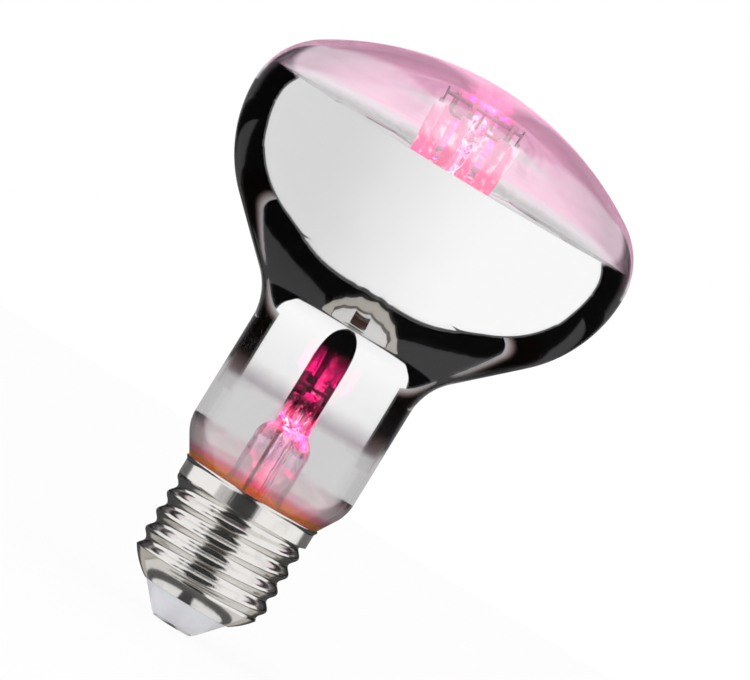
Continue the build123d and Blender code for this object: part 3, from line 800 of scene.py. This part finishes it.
class GROWBULB_OT_driver(bpy.types.Operator):
    """Finish the driver board, its parts and the wires to the cap"""

    bl_idname = "growbulb.driver"
    bl_label = "Driver"

    def execute(self, context):
        dress(board_laminate(), "driver_board")
        package = moulded("black_package", (0.03, 0.03, 0.034), 0.5, 2200.0, mottle=0.2)
        dress(package, "bridge_rectifier", "driver_chip")
        dress(moulded("ferrite_drum", (0.06, 0.058, 0.056), 0.6, 1500.0, mottle=0.3), "choke")
        dress(moulded("shrink_sleeve", (0.04, 0.06, 0.11), 0.28, 700.0, mottle=0.15), "smoothing_capacitor")
        dress(moulded("lacquered_body", (0.26, 0.40, 0.54), 0.3, 1300.0, mottle=0.1), "fuse_resistor")
        dress(moulded("red_insulation", (0.55, 0.05, 0.05), 0.42, 1600.0, mottle=0.08), "contact_wire")
        dress(moulded("white_insulation", (0.80, 0.80, 0.78), 0.42, 1600.0, mottle=0.05), "shell_wire")
        return {"FINISHED"}


# Stage


def stage_sheet(name, vertices, faces, material, camera=False):
    """A sheet of the stage; cards are seen only in reflections and through glass."""
    mesh = bpy.data.meshes.new(name)
    mesh.from_pydata(vertices, [], faces)
    mesh.materials.append(material)
    sheet = bpy.data.objects.new(name, mesh)
    bpy.context.scene.collection.objects.link(sheet)
    if not camera:
        sheet.visible_camera = False
        sheet.visible_diffuse = False
        sheet.visible_shadow = False
        sheet.visible_volume_scatter = False
    return sheet


def spaced(first, last, steps):
    """Evenly spaced values from first to last."""
    return [first + (last - first) * k / steps for k in range(steps + 1)]


def round_bulb(radius, turn):
    """Place round the bulb, in degrees from the camera's side towards its right."""
    at = math.radians(turn)
    return (radius * math.sin(at), -radius * math.cos(at))


def ring_sheet(name, start, end, first, last, material):
    """Part of a drum or cone round the bulb, between two circles given as radius and height."""
    columns = 40
    vertices = []
    for turn in spaced(first, last, columns):
        for radius, height in (start, end):
            vertices.append((*round_bulb(radius, turn), height))
    faces = [(2 * k, 2 * k + 2, 2 * k + 3, 2 * k + 1) for k in range(columns)]
    stage_sheet(name, vertices, faces, material)


def both_sides(name, start, end, first, last, material):
    """A ring sheet on the right of the bulb and its mirror image on the left."""
    ring_sheet("right_" + name, start, end, first, last, material)
    ring_sheet("left_" + name, start, end, -last, -first, material)


def card_material(name, tint):
    """Even card that shows as the given colour."""
    return Finish(name).self_lit((*tint, 1.0))


def backdrop_material():
    """Dark wall with a light middle and light bands behind the clear glass, painted with the pink light of
    the filaments behind them and behind the dome.
    """
    finish = Finish("dark_wall")
    warm_white = (1.0, 0.98, 0.99)
    x, y, level = finish.axes()
    aside = finish.reckon("ABSOLUTE", finish.reckon("ARCTAN2", x, y))
    across = finish.reckon("ABSOLUTE", x)
    # Lower part: light middle, dark sides and the band behind the clear neck
    middle = finish.spread(aside, 0.06, 0.16, 0.52, 0.0, smooth=True)
    dark = finish.spread(aside, 0.42, 0.60, 0.055, 0.003, smooth=True)
    band_low = finish.spread(level, -0.0345, -0.0335)
    band_high = finish.spread(level, -0.0085, -0.0150, smooth=True)
    band = finish.product(finish.product(band_low, band_high), 0.50)
    lower = finish.reckon("MAXIMUM", finish.sum(middle, dark), band)
    # Upper part: light behind the dome, brightest in its middle, where it is painted pink with the filaments'
    # light
    high = finish.product(finish.spread(level, 0.112, 0.128), finish.spread(aside, 0.30, 0.25))
    outside = finish.blend(finish.spread(level, 0.50, 0.62), dark, (0.90, 0.90, 0.90))
    behind = finish.spread(level, 0.090, 0.106, 0.52, 0.88)
    upper = finish.blend(finish.spread(aside, 0.25, 0.30), behind, outside)
    upper = finish.blend(high, upper, finish.spread(aside, 0.030, 0.070, 1.1, 0.60))
    over = finish.spread(level, 0.047, 0.050)
    # Painted glow: a narrow pink stripe right behind the filaments stands in for their light seen through the
    # glass
    painted_filament_haze = finish.product(finish.spread(across, 0.0155, 0.0105, smooth=True), over)
    # Painted pink filament light behind the dome and over the bright upper middle
    painted_pink_behind_dome = finish.blend(finish.spread(level, 0.088, 0.108), warm_white, (1.0, 0.84, 0.93))
    tint = finish.blend(over, warm_white, painted_pink_behind_dome)
    tint = finish.blend(high, tint, (1.0, 0.56, 0.76))
    return finish.self_lit(
        finish.blend(painted_filament_haze, tint, (1.0, 0.50, 0.72)), finish.blend(over, lower, upper)
    )


def fading_material():
    """Black card that fades to pale at its lower edge."""
    finish = Finish("fading_card")
    faded = finish.spread(finish.height(), *FADING_CARD, smooth=True)
    tint = finish.blend(faded, (0.9, 0.6, 0.55), (1.0, 0.96, 0.98))
    return finish.self_lit(tint, finish.spread(faded, 0.0, 1.0, 0.003, 0.42))


def floor_material():
    """Pale floor that shows near white and keeps the shadow."""
    finish = Finish("pale_floor")
    fine = finish.noise(60.0, 4.0)
    finish.relief(fine, 0.1, 0.0001)
    tint = finish.blend(fine, (0.94, 0.94, 0.94), (0.96, 0.96, 0.96))
    finish.surface(Base_Color=tint, Roughness=0.8)
    path = finish.add("ShaderNodeLightPath")
    share = finish.product(path.outputs["Is Camera Ray"], 0.9)
    white = finish.add("ShaderNodeEmission")
    mix = finish.add("ShaderNodeMixShader")
    finish.feed(mix, 0, share)
    finish.feed(mix, 1, finish.shader.outputs["BSDF"])
    finish.feed(mix, 2, white.outputs["Emission"])
    finish.feed(finish.tree.nodes["Material Output"], "Surface", mix.outputs["Shader"])
    return finish.material


class GROWBULB_OT_stage(bpy.types.Operator):
    """Set the floor, cards, light, background and camera"""

    bl_idname = "growbulb.stage"
    bl_label = "Stage"

    def execute(self, context):
        scene = context.scene
        studio = scene.bulb_studio
        self.floor()
        self.cards()
        self.lights(scene)
        self.camera(scene, studio)
        scene.view_settings.view_transform = "Standard"
        scene.cycles.max_bounces = 24
        scene.cycles.transmission_bounces = 20
        scene.cycles.glossy_bounces = 12
        scene.cycles.transparent_max_bounces = 24
        return {"FINISHED"}

    def floor(self):
        reach = 0.8
        drop = -0.05 * MM
        corners = [(-reach, -reach, drop), (reach, -reach, drop), (reach, reach, drop), (-reach, reach, drop)]
        floor = stage_sheet("floor", corners, [(0, 1, 2, 3)], floor_material(), camera=True)
        floor.visible_glossy = False
        floor.visible_transmission = False

    def cards(self):
        black = card_material("black_card", (0.003, 0.003, 0.003))
        white = card_material("white_card", (1.0, 1.0, 1.0))
        charcoal = card_material("charcoal_card", (0.052, 0.052, 0.054))
        self.dark_behind(black, charcoal)
        self.dark_in_front(black, white)
        self.mat_below(black, charcoal)

    def dark_behind(self, black, charcoal):
        """Wall and sheets behind the bulb, deep ground in front of the wall, and bands beside the bulb."""
        wall = backdrop_material()
        radius = 1.5
        depth = -0.3
        side = 119.5
        beside = 0.055
        ring_sheet("dark_wall", (radius, depth), (radius, 2.06), side, 360 - side, wall)
        both_sides("upper_band", (0.75, 0.018), (0.75, 0.041), side, 172, wall)
        ring_sheet("back_sheet", (0.15, 0.057), (0.5, 0.0450), side, 360 - side, black)
        ring_sheet("near_sheet", (0.062, 0.060), (0.15, 0.057), side, 360 - side, charcoal)
        ground = [(0.57, 0.36, depth), (0.30, 0.30, depth), (-0.30, 0.30, depth), (-0.57, 0.36, depth)]
        for turn in spaced(360 - side, side, 40):
            ground.append((*round_bulb(radius, turn), depth))
        stage_sheet("dark_ground", ground, [tuple(range(len(ground)))], black)
        both_sides("neck_band", (beside, 0.0395), (beside, 0.0590), 91, 136, fading_material())

    def dark_in_front(self, black, white):
        """Strips that the neck and the cap reflect, under a white sheet that keeps them from the bowl."""
        far = 0.5
        ring_sheet("front_strip", (far, -6.0), (far, 0.0445), -26, 21, black)
        ring_sheet("collar_strip", (far, -0.020), (far, 0.010), -49, -26, black)
        ring_sheet("collar_screen", (far / 2, 0.018), (far / 2, 0.060), -53, -26.5, white)
        for side, near, first, last in (("", 0.031, -38, 28), ("left_", 0.07, -53, -38)):
            ring_sheet(side + "white_sheet", (near, 0.0620), (far, 0.0460), first, last, white)
            start = (near + 2 * MM, 0.0610)
            ring_sheet(side + "thread_strip", start, (far, 0.0450), first + 2, last - 2, black)

    def mat_below(self, black, charcoal):
        """Mats that the slope over the waist and the rounded end of the cap reflect."""
        front = [(5, -21.7), (8, -21.2), (10.5, -20.5), (14, -19.8)]
        front += [(x, x * x / 100 - 21.7) for x in spaced(17, 53, 8)]
        front += [(57, 7.8), (63.5, 9.2)]
        front += [(x, math.hypot(8.6, 0.58 * x) - 30.6) for x in spaced(72, 200, 12)]
        front.append((200, 120))
        self.even_sheet("dark_mat", front, 1.1, black)
        front = [(28, -8), (33, -4.7), (38, -0.8), (42, 3), (48, 10), (54, 18.7), (60, 29)]
        front += [(67, 45), (74, 68), (80, 90), (88, 120), (95, 200)]
        self.even_sheet("charcoal_mat", front, 1.05, charcoal)
        pale = card_material("pale_mat", (0.47, 0.44, 0.40))
        line = card_material("mat_line", (0.10, 0.08, 0.07))
        light = card_material("mat_light", (0.72, 0.71, 0.70))
        brown = card_material("brown_square", (0.05, 0.025, 0.02))
        bow = [(-26, -7), (-21, -12), (-14.3, -16.5), (-6, -19.8), (4.6, -20.6), (13.4, -18.4)]
        bow += [(22, -13.5), (29, -7)]
        self.level_sheet("pale_mat", [*bow, (35, 1), (35, 18), (-26, 18)], 1.0, pale)
        bow = [(-18, -11.7), (-13, -14.9), (-5.4, -17.5), (4.9, -17.9), (14.3, -15.2), (21, -11.6)]
        bow.append((25.4, -7.6))
        rim = [(x * 1.03, y - 0.5) for x, y in bow]
        self.level_sheet("mat_line", [*rim, (26, 5), (-18.5, 5)], 0.9, line)
        self.level_sheet("mat_light", [*bow, (25.4, 5), (-18, 5)], 0.8, light)
        square = [(-4.4, -17.4), (6.6, -17.1), (7.7, -14.6), (-4.6, -14.9)]
        self.level_sheet("brown_square", square, 0.7, brown)
        for name, reach, depth, grey in (("cap_shadow", 14.0, 0.6, 0.09), ("cap_light", 10.3, 0.5, 0.85)):
            disc = [round_bulb(reach, turn) for turn in spaced(0, 350, 35)]
            self.level_sheet(name, disc, depth, card_material(name, (grey, grey, grey)))
        self.level_sheet("cap_line", [(-2.4, -11), (1.4, -11), (1.4, 0), (-2.4, 0)], 0.4, charcoal)

    def even_sheet(self, name, right, depth, material):
        """Flat sheet given by its right half."""
        self.level_sheet(name, [(-x, y) for x, y in right[::-1]] + right, depth, material)

    def level_sheet(self, name, spots, depth, material):
        """Flat sheet through places, at a depth below the contact face, all in millimetres."""
        corners = [(x * MM, y * MM, -depth * MM) for x, y in spots]
        stage_sheet(name, corners, [tuple(range(len(corners)))], material)

    def lights(self, scene):
        world = bpy.data.worlds.new("white_studio")
        scene.world = world
        world.use_nodes = True
        tree = world.node_tree
        path = tree.nodes.new("ShaderNodeLightPath")
        seen = path.outputs["Is Camera Ray"]
        for kind in ("Is Glossy Ray", "Is Transmission Ray"):
            either = tree.nodes.new("ShaderNodeMath")
            either.operation = "MAXIMUM"
            tree.links.new(seen, either.inputs[0])
            tree.links.new(path.outputs[kind], either.inputs[1])
            seen = either.outputs["Value"]
        level = tree.nodes.new("ShaderNodeMapRange")
        level.inputs["To Min"].default_value = 0.85
        tree.links.new(seen, level.inputs["Value"])
        background = tree.nodes["Background"]
        background.inputs["Color"].default_value = (1.0, 1.0, 1.0, 1.0)
        tree.links.new(level.outputs["Result"], background.inputs["Strength"])
        softbox = bpy.data.lights.new("softbox", "AREA")
        softbox.size = 0.6
        softbox.energy = 2.4
        lamp = bpy.data.objects.new("softbox", softbox)
        scene.collection.objects.link(lamp)
        lamp.visible_glossy = False
        lamp.visible_transmission = False
        lamp.location = (-0.55, -0.6, 0.75)
        lamp.rotation_euler = (Vector((0, 0, 0.06)) - lamp.location).to_track_quat("-Z", "Y").to_euler()

    def camera(self, scene, studio):
        data = bpy.data.cameras.new("camera")
        data.sensor_fit = "HORIZONTAL"
        data.sensor_width = 36.0
        data.lens = data.sensor_width * studio.distance / studio.picture_width
        data.clip_start = 0.1
        data.clip_end = 50.0
        rise = studio.elevation
        lean = studio.roll
        back = Vector((0.0, -math.cos(rise), math.sin(rise)))
        level = Vector((1.0, 0.0, 0.0))
        upright = Vector((0.0, math.sin(rise), math.cos(rise)))
        right = level * math.cos(lean) + upright * math.sin(lean)
        up = upright * math.cos(lean) - level * math.sin(lean)
        aim = Vector((0.0, 0.0, studio.aim_height)) + right * studio.aim_right - up * studio.aim_down
        camera = bpy.data.objects.new("camera", data)
        turn = Matrix((right, up, back)).transposed().to_4x4()
        camera.matrix_world = Matrix.Translation(aim + back * studio.distance) @ turn
        scene.collection.objects.link(camera)
        scene.camera = camera


# Panel and registration


class GROWBULB_PT_panel(bpy.types.Panel):
    """Pieces of the bulb and what a user may change"""

    bl_label = "Reflector Grow Bulb"
    bl_idname = "GROWBULB_PT_panel"
    bl_space_type = "VIEW_3D"
    bl_region_type = "UI"
    bl_category = "Bulb"

    def draw(self, context):
        layout = self.layout
        for step in steps:
            layout.operator(step.bl_idname)
        for group in ("bulb_colours", "bulb_studio", "bulb_sizes"):
            settings = getattr(context.scene, group)
            column = layout.column()
            for key in settings.__annotations__:
                column.prop(settings, key)


steps = (
    GROWBULB_OT_glass,
    GROWBULB_OT_mirror,
    GROWBULB_OT_stem,
    GROWBULB_OT_filaments,
    GROWBULB_OT_cap,
    GROWBULB_OT_driver,
    GROWBULB_OT_stage,
)
groups = {"bulb_sizes": BulbSizes, "bulb_colours": BulbColours, "bulb_studio": BulbStudio}


def register():
    for kind in (*groups.values(), *steps, GROWBULB_PT_panel):
        bpy.utils.register_class(kind)
    for name, kind in groups.items():
        setattr(bpy.types.Scene, name, bpy.props.PointerProperty(type=kind))


def unregister():
    for name in groups:
        delattr(bpy.types.Scene, name)
    for kind in (GROWBULB_PT_panel, *reversed(steps), *groups.values()):
        bpy.utils.unregister_class(kind)


def main():
    register()
    bpy.ops.growbulb.glass()
    bpy.ops.growbulb.mirror()
    bpy.ops.growbulb.stem()
    bpy.ops.growbulb.filaments()
    bpy.ops.growbulb.cap()
    bpy.ops.growbulb.driver()
    bpy.ops.growbulb.stage()
    bpy.context.view_layer.update()


if __name__ == "__main__":
    main()
